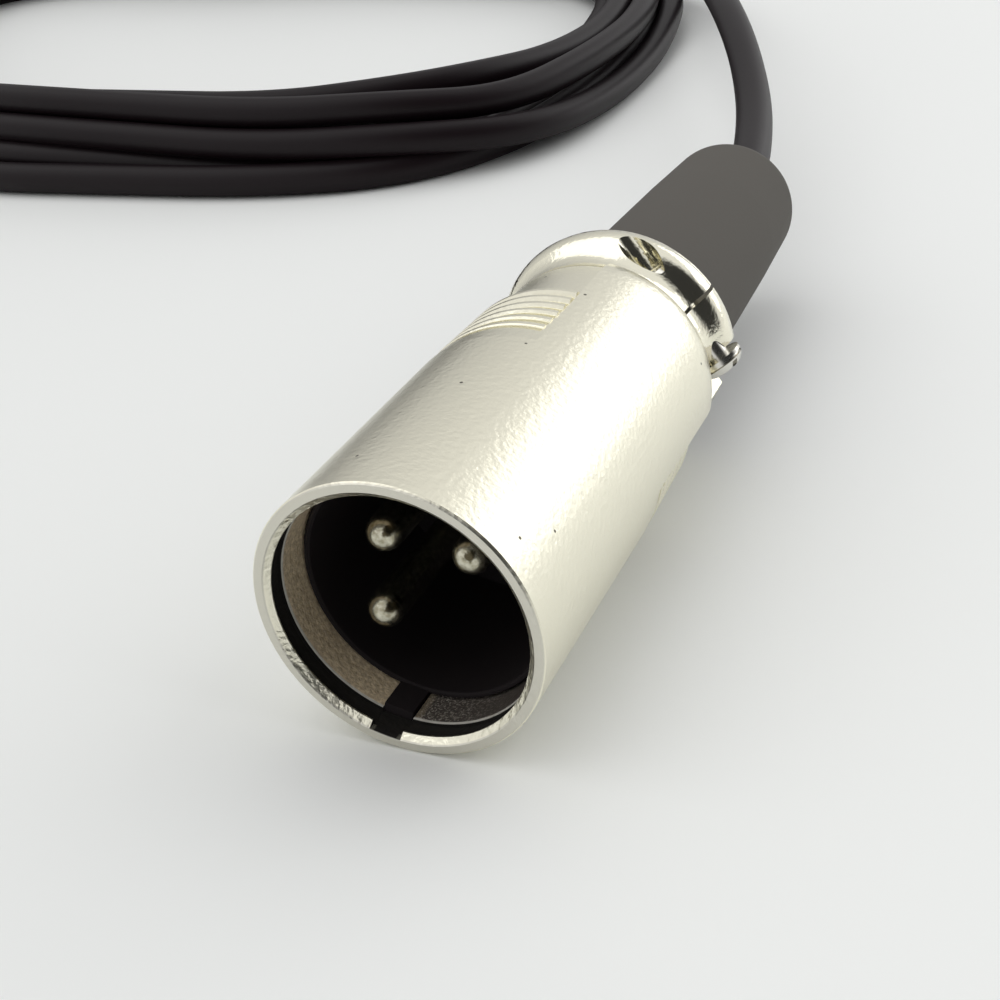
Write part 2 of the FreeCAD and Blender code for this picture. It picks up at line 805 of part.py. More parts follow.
def rounded_edges(points, closed):
    """Straight runs joined by tangent arcs, with the arcs' radii."""
    count = len(points)
    corners = range(count) if closed else range(1, count - 1)
    edges, radii = [], []
    arcs = {}
    for index in corners:
        before, corner, after = points[index - 1], points[index], points[(index + 1) % count]
        radius, half = bend_radius_at(before, corner, after)
        into = (corner - before).normalize()
        out = (after - corner).normalize()
        reach = radius * math.tan(half)
        inward = (out - into).normalize()
        start = corner - into * reach
        stop = corner + out * reach
        middle = corner + inward * (radius / math.cos(half) - radius)
        arcs[index] = (start, middle, stop)
        radii.append(radius)
    for index in range(count if closed else count - 1):
        after = (index + 1) % count
        start = arcs[index][2] if index in arcs else points[index]
        stop = arcs[after][0] if after in arcs else points[after]
        edges.append(Part.LineSegment(start, stop).toShape())
        if after in arcs:
            edges.append(Part.Arc(*arcs[after]).toShape())
    return edges, radii


def tube(name, points, radius):
    """A round tube along a route, its volume compared with its section times its length."""
    edges, radii = rounded_edges(points, False)
    path = Part.Wire(edges)
    along = (points[1] - points[0]).normalize()
    section = Part.Wire([Part.Circle(points[0], along, radius).toShape()])
    solid = path.makePipeShell([section], True, True)
    expected = math.pi * radius ** 2 * path.Length
    texts = ", ".join("%.1f" % value for value in radii)
    print("%s: length %.1f mm, arc radii %s mm" % (name, path.Length, texts))
    print("%s: volume %.2f mm3, section times length %.2f mm3" % (name, solid.Volume, expected))
    return solid


def solid_of(shape):
    """The largest solid of a shape."""
    return max(shape.Solids, key=lambda solid: solid.Volume)


def add_feature(name, shape, frame=None):
    feature = document.addObject("Part::Feature", name)
    feature.Label = name
    feature.Shape = shape
    if frame:
        feature.setExpression("Placement", frame)
    return feature


def make_wire(name, angle):
    """A wire from a pin's cup to the cable's end, drawn in the pin's radial plane."""
    out, near = size.pin_circle.number, size.wire_circle.number
    start, stop = size.wire_start.number, size.cable_start.number
    rise = size.solder_top.number + 1.3
    fall = stop - 1.3
    route = [Vector(out, 0, start), Vector(out, 0, rise), Vector(near, 0, fall), Vector(near, 0, stop)]
    frame = "%s * %s" % (PLUG_FRAME, placement(yaw=angle))
    return add_feature(name, tube(name, route, size.wire_radius.number), frame)


def boot_exit():
    """Where the cable leaves the boot, in the row frame."""
    radius, angle = size.bend_radius.number, math.radians(size.bend_angle.number)
    x = size.axis_x.number - radius * (1 - math.cos(angle))
    y = size.mouth_y.number + size.bend_start.number + radius * math.sin(angle)
    return Vector(x, y, size.barrel_radius.number)


def make_coil():
    """The coil's outer shape: a flat ring round its outermost turn, with rounded edges."""
    points = [Vector(x, y, 0) for x, y in COIL_ROUTE]
    edges, radii = rounded_edges(points, True)
    path = Part.Wire(edges)
    print("cable_coil: one turn %.1f mm, arc radii %.1f to %.1f mm" % (path.Length, min(radii), max(radii)))
    radius = size.cable_radius.number
    outer = path.makeOffset2D(radius + 0.2)
    inner = path.makeOffset2D(radius + 0.2 - size.coil_width.number)
    outer_block = Part.Face(outer).extrude(Vector(0, 0, size.coil_height.number))
    inner_block = Part.Face(inner).extrude(Vector(0, 0, size.coil_height.number))
    ring = solid_of(outer_block.cut(inner_block))
    flat = [edge for edge in ring.Edges if abs(edge.tangentAt(edge.FirstParameter).z) < 0.5]
    return add_feature("cable_coil", solid_of(ring.makeFillet(size.coil_rounding.number, flat)))


def make_lead(coil):
    points = [boot_exit()] + [Vector(*point) for point in LEAD_ROUTE]
    lead = tube("cable_lead", points, size.cable_radius.number)
    return add_feature("cable_lead", solid_of(lead.cut(coil.Shape)))


def make_tail(coil):
    points = [Vector(*point) for point in TAIL_ROUTE]
    tail = tube("cable_tail", points, size.cable_radius.number)
    return add_feature("cable_tail", solid_of(tail.cut(coil.Shape)))


def jack_stations():
    """Where each contact of the mini jack starts, from the handle's front face."""
    stations = {"sleeve": size.handle_length + size.jack_flange_length}
    stations["insulator_rear"] = stations["sleeve"] + size.jack_sleeve_length
    stations["ring"] = stations["insulator_rear"] + size.jack_insulator_length
    stations["insulator_front"] = stations["ring"] + size.jack_ring_length
    stations["tip"] = stations["insulator_front"] + size.jack_insulator_length
    stations["end"] = stations["tip"] + size.jack_tip_length
    return stations


def make_handle():
    """The moulded handle with its tapered relief, bored for the cable and for the contacts' tails."""
    body = new_body("jack_handle", JACK_FRAME)
    relief = size.relief_length
    radius = size.handle_radius
    end = size.handle_length
    cable = size.cable_radius + size.fit
    corners = [
        (cable, 0),
        (size.relief_radius - 0.5, 0),
        (size.relief_radius - 0.3, 0.3),
        (size.relief_radius, relief),
        (radius - 0.6, relief, radius - 0.15, relief + 0.2),
        (radius, relief + 0.8),
        (radius, end - 5),
        (radius - 0.9, end - 0.6, radius - 1.05, end - 0.15),
        (radius - 1.5, end),
    ]
    front = end
    for layer in range(JACK_LAYERS):
        bore = jack_tail_radius(layer) + size.fit / 2
        back = end - jack_tail_length(layer) - size.fit
        corners += [(bore, front), (bore, back)]
        front = back
    corners += [(0, front), (0, relief + 2), (cable, relief + 2)]
    revolve(body, "handle_turned", "XZ_Plane", [corners])
    grooves = [relief_groove(0.22), relief_groove(0.5), relief_groove(0.78)]
    revolve(body, "relief_grooves", "XZ_Plane", grooves, cut=True)
    return body


def relief_groove(share):
    station = size.relief_length * share
    outer = size.relief_radius
    half = size.relief_length * 0.045
    floor = outer - 0.75
    front, back = station - half, station + half
    return [(floor, front), (outer + 1, front), (outer + 1, back), (floor, back)]


def jack_tail_radius(layer):
    """The nested tails behind the mini jack's contacts, from the sleeve's (0) to the tip's (4)."""
    return size.jack_radius - 0.25 - 0.25 * layer


def jack_tail_length(layer):
    return 3.0 + 0.8 * layer


def contact_outline(layer, start, stop, drop=0):
    """A contact or insulator: a band near full radius and a tail that passes inside the ones behind it."""
    outer = size.jack_radius - drop
    hole = jack_tail_radius(layer + 1) + size.fit / 2
    tail = jack_tail_radius(layer)
    end = size.handle_length - jack_tail_length(layer)
    return [(hole, stop), (outer, stop), (outer, start), (tail, start), (tail, end), (hole, end)]


def make_jack_sleeve(stations):
    body = new_body("jack_sleeve", JACK_FRAME)
    start, stop = stations["sleeve"], stations["insulator_rear"]
    corners = contact_outline(0, size.handle_length, stop)
    rim = size.jack_flange
    flange = [(rim - 0.2, start), (rim, start - 0.2), (rim, size.handle_length)]
    outline = corners[:2] + [(size.jack_radius, start)] + flange + corners[3:]
    revolve(body, "jack_sleeve_turned", "XZ_Plane", [outline])
    return body


def make_jack_band(name, layer, start, stop, drop=0):
    body = new_body(name, JACK_FRAME)
    revolve(body, name + "_turned", "XZ_Plane", [contact_outline(layer, start, stop, drop)])
    return body


def make_jack_tip(stations):
    """The tip: a waist behind a rounded cone, on a rod that runs back into the handle."""
    body = new_body("jack_tip", JACK_FRAME)
    start, end = stations["tip"], stations["end"]
    radius = size.jack_radius
    rod = jack_tail_radius(4)
    back = size.handle_length - jack_tail_length(4)
    corners = [
        (0, end),
        (0, back),
        (rod, back),
        (rod, start),
        (radius, start),
        (radius, start + 0.3, radius - 0.42, start + 0.95),
        (radius, start + 1.6),
        (radius - 0.05, start + 1.9),
        (0.8, end - 0.4, 0.62, end - 0.14),
        (0.3, end),
    ]
    revolve(body, "jack_tip_turned", "XZ_Plane", [corners])
    return body


def make_jack():
    stations = jack_stations()
    drop = size.jack_insulator_drop
    return [
        make_handle(),
        make_jack_sleeve(stations),
        make_jack_band("jack_insulator_rear", 1, stations["insulator_rear"], stations["ring"], drop),
        make_jack_band("jack_ring", 2, stations["ring"], stations["insulator_front"]),
        make_jack_band("jack_insulator_front", 3, stations["insulator_front"], stations["tip"], drop),
        make_jack_tip(stations),
    ]


def make_plug():
    parts = [make_shell(), make_insert(), make_insert_screw(), make_clamp_half()]
    parts.append(make_clamp_screw("clamp_screw_a", 1))
    parts.append(make_clamp_screw("clamp_screw_b", -1))
    for name, angle in PIN_ANGLES.items():
        parts.append(make_pin(name, angle))
        parts.append(make_solder(name.replace("pin", "solder"), angle))
    for name, pin in WIRES.items():
        parts.append(make_wire(name, PIN_ANGLES[pin]))
    return parts + [make_boot(), make_cable_end()]


def make_cable():
    coil = make_coil()
    return [coil, make_lead(coil), make_tail(coil)]


def check_and_write(parts):
    """Write each part once every object of the document is sound."""
    document.recompute()
    for item in document.Objects:
        if "Invalid" in item.State or "Error" in item.State:
            raise RuntimeError("%s is not sound: %s" % (item.Name, item.State))
    for part in parts:
        if part.Shape.isNull() or not part.Shape.isValid() or len(part.Shape.Solids) != 1:
            raise RuntimeError("%s has no single valid solid" % part.Label)
    os.makedirs("parts", exist_ok=True)
    for part in parts:
        part.Shape.exportStep(os.path.join("parts", part.Label + ".step"))
        print("%s: %.2f mm3" % (part.Label, part.Shape.Volume))


check_and_write(make_plug() + make_cable() + make_jack())
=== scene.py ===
"""Looks of a coiled audio adapter cable: a three-pin metal plug, its boot, the coil and a mini jack."""
import json
import math

import bpy
from mathutils import Matrix, Vector


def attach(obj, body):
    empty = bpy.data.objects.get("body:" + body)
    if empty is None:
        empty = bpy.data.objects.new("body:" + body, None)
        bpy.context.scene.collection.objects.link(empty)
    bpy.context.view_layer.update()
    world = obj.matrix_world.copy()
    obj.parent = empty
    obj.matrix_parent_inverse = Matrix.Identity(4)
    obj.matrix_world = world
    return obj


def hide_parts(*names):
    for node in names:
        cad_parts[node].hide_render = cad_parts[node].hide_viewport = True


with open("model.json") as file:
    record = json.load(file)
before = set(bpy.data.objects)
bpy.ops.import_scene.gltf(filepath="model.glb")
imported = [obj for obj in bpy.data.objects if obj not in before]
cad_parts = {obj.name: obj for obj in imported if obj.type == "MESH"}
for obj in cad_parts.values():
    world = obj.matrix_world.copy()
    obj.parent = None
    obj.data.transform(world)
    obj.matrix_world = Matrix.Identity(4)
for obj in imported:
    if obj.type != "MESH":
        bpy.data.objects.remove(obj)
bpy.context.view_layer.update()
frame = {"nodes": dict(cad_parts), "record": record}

NODES = frame["nodes"]
MM = 0.001

# The camera that the photograph's floor and plug were solved with.
CAMERA_PLACE = Vector((37.99, -98.59, 58.61)) * MM
CAMERA_FORWARD = Vector((-0.3847, 0.7776, -0.4973))
CAMERA_UP = Vector((-0.1198, 0.4922, 0.8622))
LENS = 54.0
SENSOR = 36.0
CLIP_START = 5 * MM

# The room's light: pale all round, dark on the near right, and duller low behind on the left. The stops
# give grey levels by the cosine of the angle from that side.
WORLD_STRENGTH = 1.0
DIM_SIDE = (0.80, -0.35, 0.50)
DIM_STOPS = [(0.66, 1.0), (0.84, 0.04)]
DULL_SIDE = (-0.67, 0.74, 0.0)
DULL_STOPS = [(0.40, 0.86), (0.62, 0.78), (0.80, 0.66), (0.93, 0.58), (0.98, 0.44), (1.0, 0.36)]

# The lamps: place, target and size in metres, watts and colour.
LAMPS = {
    "key": ((-0.30, -0.044, 0.60), (-0.03, 0.036, 0.0), (0.7, 0.7), 0.91, (1.0, 1.0, 0.99)),
    "window": ((0.28, 0.48, 0.20), (0.0, -0.014, 0.01), (0.46, 0.34), 0.50, (1.0, 1.0, 1.0)),
    "fill": ((0.44, 0.10, 0.36), (0.05, 0.06, 0.0), (0.5, 0.5), 0.96, (1.0, 1.0, 1.0)),
}
FLOOR_HALF = 2.0
FLOOR_COLOR = (0.86, 0.872, 0.86)
FLOOR_ROUGH = 0.6

# The plug lies on its side: its axis runs along +Y, at the height of the barrel's radius.
AXIS_X = -0.4 * MM
AXIS_Z = 9.5 * MM
MOUTH_Y = -36.7 * MM

# Where the plug's looks change, in millimetres: radii from its axis, and stations along it from the mouth.
# A pair is the start and the end of a soft edge, or of a span.
BORE_RADIUS = 8.5
BORE_INSIDE = BORE_RADIUS + 0.04
BORE_OUTSIDE = BORE_RADIUS + 0.08
BORE_SPAN = (1.6, 12.0)
# Where the painted highlight along the bore's front edge fades out.
BORE_HIGHLIGHT_SPAN = (2.03, 1.97)
GROOVE_SPAN = (0.52, 1.95)
GROOVE_RADIUS = (9.1, 9.0)
LIP_RADIUS = (8.95, 8.85)
LIP_BACK = (0.62, 0.56)
LIP_FRONT = (0.06, 0.12)
# How deep the painted shade on the rim's face reaches.
RIM_DEPTH = (0.1, 0.05)
SHELL_LENGTH = 34.8
COLLAR_START = (SHELL_LENGTH + 0.05, SHELL_LENGTH + 0.2)

# The key's slot, which gets painted shade: the way down to it, the way across it, half its width and its
# depth.
KEY_LEAN = math.radians(12.5)
KEY_DOWN = (-math.sin(KEY_LEAN), 0.0, -math.cos(KEY_LEAN))
KEY_ACROSS = (math.cos(KEY_LEAN), 0.0, -math.sin(KEY_LEAN))
KEY_HALF = 1.04
KEY_TOP = (8.0, 8.1)
KEY_RADIUS = (8.84, 8.8)

# How far across from the key the bore turns from brown to painted shade, and where the pale flecks in that
# shade fade out.
PAINTED_SHADE_START = (0.6, 1.6)
FLECKS_FADE = (7.5, 1.5)

# The painted dark reflections on the pins' domes: where they lie, their ragged radius and how far back they
# reach.
PIN_REFLECTION_SPOTS = [(3.55, 2.98), (-1.82, 3.78), (-2.47, -1.87)]
PIN_REFLECTION_RADIUS = (0.62, 0.50)
PIN_REFLECTION_BACK = (5.0, 4.8)

# The shell's and the pins' colours.
SHELL_COLOR = (0.88, 0.85, 0.705)
# Painted shade on the rim's face.
RIM_PAINTED_SHADE = (0.66, 0.64, 0.56, 1.0)
BORE_COLOR = (0.66, 0.53, 0.36, 1.0)
BORE_LIGHT = (0.86, 0.71, 0.49, 1.0)
# A painted highlight along the bore's front edge.
BORE_PAINTED_HIGHLIGHT = (0.80, 0.77, 0.70, 1.0)
# Painted shade on one side of the key inside the bore, and the pale flecks in it.
BORE_PAINTED_SHADE = (0.085, 0.072, 0.062, 1.0)
BORE_SPECK = (0.50, 0.46, 0.40, 1.0)
# Painted shade in the groove behind the lip and in the key's slot.
GROOVE_PAINTED_SHADE = (0.02, 0.018, 0.016, 1.0)
PIT_COLOR = (0.10, 0.09, 0.07, 1.0)
PIN_COLOR = (0.66, 0.64, 0.52)
PIN_DARK = (0.36, 0.335, 0.24)
# The colour of the painted dark reflections on the pins' domes.
PIN_PAINTED_REFLECTION = (0.10, 0.085, 0.05, 1.0)

# How rough, how metallic and how strongly embossed the shell's regions are.
BARREL_ROUGH = 0.29
COLLAR_ROUGH = 0.13
BORE_ROUGH = 0.45
SLOT_ROUGH = 0.6
BORE_METALLIC = 0.2
SLOT_METALLIC = 0.5
BARREL_RELIEF = 0.50
COLLAR_RELIEF = 0.30
MOUTH_RELIEF = 1.0
SKIN_DEPTH = 0.10 * MM

# The noises: features per millimetre and detail. A range is where a noise turns from one look to the other.
SKIN_NOISE = (2.4, 2.5)
STAIN_NOISE = (4.0, 4.0)
STAIN_RANGE = (0.42, 0.62)
FLECK_NOISE = (7.0, 2.0)
FLECK_RANGE = (0.50, 0.66)
PIN_NOISE = (3.0, 3.0)
PIN_RANGE = (0.35, 0.65)
PIN_DENTS = (1.6, 3.0)
PIN_DENT_DEPTH = 0.06 * MM

# The dark pits in the shell's skin: cells per millimetre, and their size as a share of a cell.
PITS_PER_MM = 0.33
PIT_SIZE = (0.045, 0.03)

# The cord's route, in millimetres: its exit from the boot, the lead, the coil's outermost turn and the
# tail.
BOOT_EXIT = (-0.437, 36.594, 9.5)
LEAD_ROUTE = [
    (-0.646, 42.59, 9.5),
    (-4.5, 60.3, 9.75),
    (-8.6, 73.8, 10.8),
    (-13.4, 86.6, 12.2),
    (-18.2, 98.1, 13.1),
    (-23.7, 111.3, 13.0),
    (-29.1, 125.3, 10.9),
    (-34.1, 140.3, 7.4),
    (-38.6, 154.3, 4.6),
    (-47.9, 165.6, 3.4),
    (-60.0, 173.7, 2.8),
]
COIL_ROUTE = [
    (-112.4, 53.5),
    (-90.4, 54.8),
    (-68.4, 56.3),
    (-50.4, 61.8),
    (-38.9, 75.3),
    (-34.9, 96.3),
    (-35.9, 120.3),
    (-39.4, 144.3),
    (-48.4, 165.3),
    (-67.4, 178.8),
    (-93.4, 183.8),
    (-121.4, 185.8),
    (-150.4, 185.3),
    (-178.4, 183.3),
    (-199.4, 175.3),
    (-206.4, 158.3),
    (-201.4, 137.3),
    (-187.4, 114.3),
    (-172.9, 94.8),
    (-155.4, 75.8),
    (-134.9, 60.8),
]
TAIL_ROUTE = [
    (-57.0, 160.2, 8.8),
    (-70.5, 169.7, 12.4),
    (-86.0, 174.7, 13.6),
    (-101.9, 177.6, 14.9),
    (-115.9, 177.9, 16.35),
    (-127.4, 177.9, 16.35),
]
CORD_RADIUS = 2.0
CORD_BEVEL_STEPS = 5
CORD_CURVE_STEPS = 10
CORD_NODES = ["cable_lead", "cable_coil", "cable_tail"]

# The coil has six strands, beside and on one another. The cable stays in each place for one point less than
# a whole turn, so that each strand moves over to the next place behind the one that has just left it.
STRANDS = 6
FIRST_POINT = 14
STEPS_IN_PLACE = 20

# How far inward the lead lies at the last points before the first turn.
LEAD_OFFSETS = {10: -1.0, 11: -0.5, 12: 0.0, 13: 1.2}

# Where each strand lies at some points of the outermost turn: how far inward, and how high, in millimetres.
# Keys are the points' indices. The first strand is the lead's first turn, on the surface, and the last is
# the top one.
PLACES = {
    0: [(0.0, 2.0), (3.4, 4.2), (5.4, 7.4), (9.4, 5.6), (7.8, 10.6), (11.6, 8.9)],
    2: [(0.0, 2.0), (4.0, 2.0), (2.6, 5.7), (6.6, 5.5), (5.0, 9.1), (9.1, 8.8)],
    3: [(0.6, 2.0), (4.6, 2.0), (1.0, 5.9), (8.2, 4.7), (4.2, 9.2), (11.2, 9.2)],
    4: [(2.6, 2.0), (6.6, 2.0), (-1.8, 3.9), (10.6, 2.0), (2.5, 7.1), (10.0, 9.0)],
    5: [(4.0, 2.0), (8.0, 2.0), (0.0, 2.0), (12.0, 2.0), (2.2, 7.3), (7.8, 7.1)],
    6: [(4.0, 2.0), (8.0, 2.0), (0.0, 2.0), (12.0, 2.0), (2.4, 6.6), (7.0, 6.0)],
    7: [(3.8, 2.0), (7.8, 2.0), (0.4, 4.7), (11.4, 3.7), (4.4, 6.8), (8.4, 7.2)],
    8: [(4.4, 2.0), (8.4, 2.0), (3.2, 5.9), (12.2, 3.2), (7.2, 5.9), (10.4, 9.4)],
    9: [(4.9, 2.0), (8.9, 2.0), (6.4, 5.6), (10.2, 5.5), (8.2, 9.2), (12.3, 8.7)],
    10: [(4.6, 2.0), (8.6, 2.0), (6.4, 5.6), (10.4, 5.6), (8.4, 9.2), (12.4, 9.2)],
    12: [(4.0, 2.0), (8.0, 2.0), (6.0, 5.6), (10.0, 5.6), (8.0, 9.2), (12.0, 9.2)],
    13: [(1.6, 2.0), (5.6, 2.0), (3.6, 5.6), (7.6, 5.6), (5.6, 9.2), (9.6, 9.2)],
    14: [(1.0, 2.0), (5.0, 2.0), (3.0, 5.6), (7.0, 5.6), (4.8, 9.2), (8.8, 9.2)],
    15: [(1.0, 2.0), (5.0, 2.0), (3.0, 5.6), (7.0, 5.6), (4.8, 9.2), (8.8, 9.2)],
    16: [(-0.6, 2.0), (3.4, 2.0), (1.4, 5.6), (5.4, 5.6), (3.2, 9.2), (7.2, 9.2)],
    19: [(0.0, 2.0), (4.0, 2.0), (2.0, 5.6), (6.0, 5.6), (4.2, 9.2), (8.2, 9.2)],
}


def mix(a, b, share):
    return a + (b - a) * share


def place_beside(index, strand):
    """How far inward and how high a strand lies, in even steps between the points that PLACES gives."""
    given = sorted(PLACES)
    count = len(COIL_ROUTE)
    before = max((key for key in given if key <= index), default=given[-1])
    after = min((key for key in given if key > index), default=given[0])
    span = (after - before) % count or count
    share = ((index - before) % count) / span
    low, high = PLACES[before][strand], PLACES[after][strand]
    return mix(low[0], high[0], share), mix(low[1], high[1], share)


def coil_point(index, inward, height):
    """A point of the coil, from the outermost turn's point of that index."""
    count = len(COIL_ROUTE)
    here = Vector(COIL_ROUTE[index])
    along = Vector(COIL_ROUTE[(index + 1) % count]) - Vector(COIL_ROUTE[index - 1])
    side = Vector((-along.y, along.x)).normalized()
    place = here + side * inward
    return (place.x, place.y, height)


def coil_points():
    """The lead runs along the outside up to the first point, then come the turns."""
    count = len(COIL_ROUTE)
    points = [coil_point(index, LEAD_OFFSETS[index], CORD_RADIUS) for index in LEAD_OFFSETS]
    for step in range(STRANDS * STEPS_IN_PLACE):
        index = (FIRST_POINT + step) % count
        points.append(coil_point(index, *place_beside(index, step // STEPS_IN_PLACE)))
    return points


def cord_points():
    return [BOOT_EXIT] + LEAD_ROUTE + coil_points() + TAIL_ROUTE


def make_cord():
    curve = bpy.data.curves.new("cable", "CURVE")
    curve.dimensions = "3D"
    curve.bevel_depth = CORD_RADIUS * MM
    curve.bevel_resolution = CORD_BEVEL_STEPS
    curve.resolution_u = CORD_CURVE_STEPS
    curve.use_fill_caps = True
    points = cord_points()
    spline = curve.splines.new("NURBS")
    spline.points.add(len(points) - 1)
    for point, place in zip(spline.points, points):
        point.co = (*(Vector(place) * MM), 1.0)
    spline.order_u = 3
    spline.use_endpoint_u = True
    cable = bpy.data.objects.new("cable", curve)
    bpy.context.scene.collection.objects.link(cable)
    return cable


# Materials

def feed(tree, socket, value):
    """Give a socket a fixed value or another node's output."""
    if isinstance(value, bpy.types.NodeSocket):
        tree.links.new(value, socket)
    else:
        socket.default_value = value


def calculate(tree, operation, first, second=0.0):
    node = tree.nodes.new("ShaderNodeMath")
    node.operation = operation
    feed(tree, node.inputs[0], first)
    feed(tree, node.inputs[1], second)
    return node.outputs["Value"]


def vector_step(tree, operation, first, second):
    node = tree.nodes.new("ShaderNodeVectorMath")
    node.operation = operation
    feed(tree, node.inputs[0], first)
    feed(tree, node.inputs[1], second)
    return node.outputs["Value" if operation in ("DOT_PRODUCT", "LENGTH") else "Vector"]


def rise(tree, value, low, high):
    """From 0 at low to 1 at high."""
    node = tree.nodes.new("ShaderNodeMapRange")
    feed(tree, node.inputs["Value"], value)
    node.inputs["From Min"].default_value = low
    node.inputs["From Max"].default_value = high
    return node.outputs["Result"]


def between(tree, value, low, high, soft):
    """One between low and high, with soft edges outside them."""
    above = rise(tree, value, low - soft, low)
    below = rise(tree, value, high + soft, high)
    return both(tree, above, below)


def both(tree, *masks):
    """Where all the masks hold."""
    result = masks[0]
    for mask in masks[1:]:
        result = calculate(tree, "MULTIPLY", result, mask)
    return result


def blend_color(tree, share, first, second):
    """The colour inputs of a mix node are its seventh and eighth, and the colour output its third."""
    node = tree.nodes.new("ShaderNodeMix")
    node.data_type = "RGBA"
    feed(tree, node.inputs[0], share)
    feed(tree, node.inputs[6], first)
    feed(tree, node.inputs[7], second)
    return node.outputs[2]


def blend_value(tree, share, first, second):
    node = tree.nodes.new("ShaderNodeMix")
    feed(tree, node.inputs[0], share)
    feed(tree, node.inputs[2], first)
    feed(tree, node.inputs[3], second)
    return node.outputs[0]


def noise_at(tree, where, scale, detail=3.0):
    """Noise in the object's own coordinates; scale is features per millimetre."""
    noise = tree.nodes.new("ShaderNodeTexNoise")
    noise.inputs["Scale"].default_value = scale / MM
    noise.inputs["Detail"].default_value = detail
    tree.links.new(where, noise.inputs["Vector"])
    return noise.outputs["Fac"]


def object_coordinates(tree):
    return tree.nodes.new("ShaderNodeTexCoord").outputs["Object"]


def new_material(name, color, roughness, metallic=0.0, specular=0.5):
    material = bpy.data.materials.new(name)
    material.use_nodes = True
    shader = material.node_tree.nodes["Principled BSDF"]
    shader.inputs["Base Color"].default_value = (*color, 1.0)
    shader.inputs["Roughness"].default_value = roughness
    shader.inputs["Metallic"].default_value = metallic
    shader.inputs["Specular IOR Level"].default_value = specular
    return material


def bump_from(tree, height, strength, distance):
    bump = tree.nodes.new("ShaderNodeBump")
    bump.inputs["Distance"].default_value = distance
    feed(tree, bump.inputs["Strength"], strength)
    tree.links.new(height, bump.inputs["Height"])
    tree.links.new(bump.outputs["Normal"], tree.nodes["Principled BSDF"].inputs["Normal"])


def add_bump(material, scale, strength, distance):
    """Fine surface relief."""
    tree = material.node_tree
    bump_from(tree, noise_at(tree, object_coordinates(tree), scale), strength, distance)


def plug_place(tree, where):
    """A point's vector from the mouth's centre, its radius and its station, all in millimetres."""
    moved = vector_step(tree, "SUBTRACT", where, (AXIS_X, MOUTH_Y, AXIS_Z))
    place = vector_step(tree, "MULTIPLY", moved, (1 / MM, 1 / MM, 1 / MM))
    flat = vector_step(tree, "MULTIPLY", place, (1.0, 0.0, 1.0))
    radius = vector_step(tree, "LENGTH", flat, (0.0, 0.0, 0.0))
    station = vector_step(tree, "DOT_PRODUCT", place, (0.0, 1.0, 0.0))
    return place, radius, station


def shell_regions(tree, place, radius, station):
    """Masks of the bore, of the groove and key slot that get painted shade, and of the lip's inner face."""
    inner = rise(tree, radius, BORE_OUTSIDE, BORE_INSIDE)
    bore = both(tree, inner, between(tree, station, *BORE_SPAN, 0.1))
    behind = rise(tree, radius, BORE_INSIDE, BORE_OUTSIDE)
    within = rise(tree, radius, *GROOVE_RADIUS)
    groove = both(tree, behind, within, between(tree, station, *GROOVE_SPAN, 0.05))
    across = vector_step(tree, "DOT_PRODUCT", place, KEY_ACROSS)
    down = vector_step(tree, "DOT_PRODUCT", place, KEY_DOWN)
    beside_key = between(tree, across, -KEY_HALF, KEY_HALF, 0.03)
    slot = both(tree, beside_key, rise(tree, down, *KEY_TOP), rise(tree, radius, *KEY_RADIUS))
    # The groove and the key's slot get painted shade.
    dark = calculate(tree, "MAXIMUM", groove, slot)
    lip_faces = both(tree, rise(tree, station, *LIP_BACK), rise(tree, station, *LIP_FRONT))
    lip = both(tree, rise(tree, radius, *LIP_RADIUS), lip_faces)
    return bore, dark, lip


def bore_colors(tree, where, place, station):
    """Brown stains inside the mouth, painted shade with pale flecks on one side of the key, and a painted
    highlight along the front edge.
    """
    stain = rise(tree, noise_at(tree, where, *STAIN_NOISE), *STAIN_RANGE)
    brown = blend_color(tree, stain, BORE_COLOR, BORE_LIGHT)
    across = vector_step(tree, "DOT_PRODUCT", place, KEY_ACROSS)
    flecks = rise(tree, noise_at(tree, where, *FLECK_NOISE), *FLECK_RANGE)
    flecks = both(tree, flecks, rise(tree, across, *FLECKS_FADE))
    # Painted shade with pale flecks on one side of the key.
    shaded_side = blend_color(tree, flecks, BORE_PAINTED_SHADE, BORE_SPECK)
    color = blend_color(tree, rise(tree, across, *PAINTED_SHADE_START), brown, shaded_side)
    # Painted highlight along the bore's front edge.
    return blend_color(tree, rise(tree, station, *BORE_HIGHLIGHT_SPAN), color, BORE_PAINTED_HIGHLIGHT)


def pit_mask(tree, where):
    """Small dark pits, scattered over the skin."""
    cells = tree.nodes.new("ShaderNodeTexVoronoi")
    cells.inputs["Scale"].default_value = PITS_PER_MM / MM
    tree.links.new(where, cells.inputs["Vector"])
    return rise(tree, cells.outputs["Distance"], *PIT_SIZE)


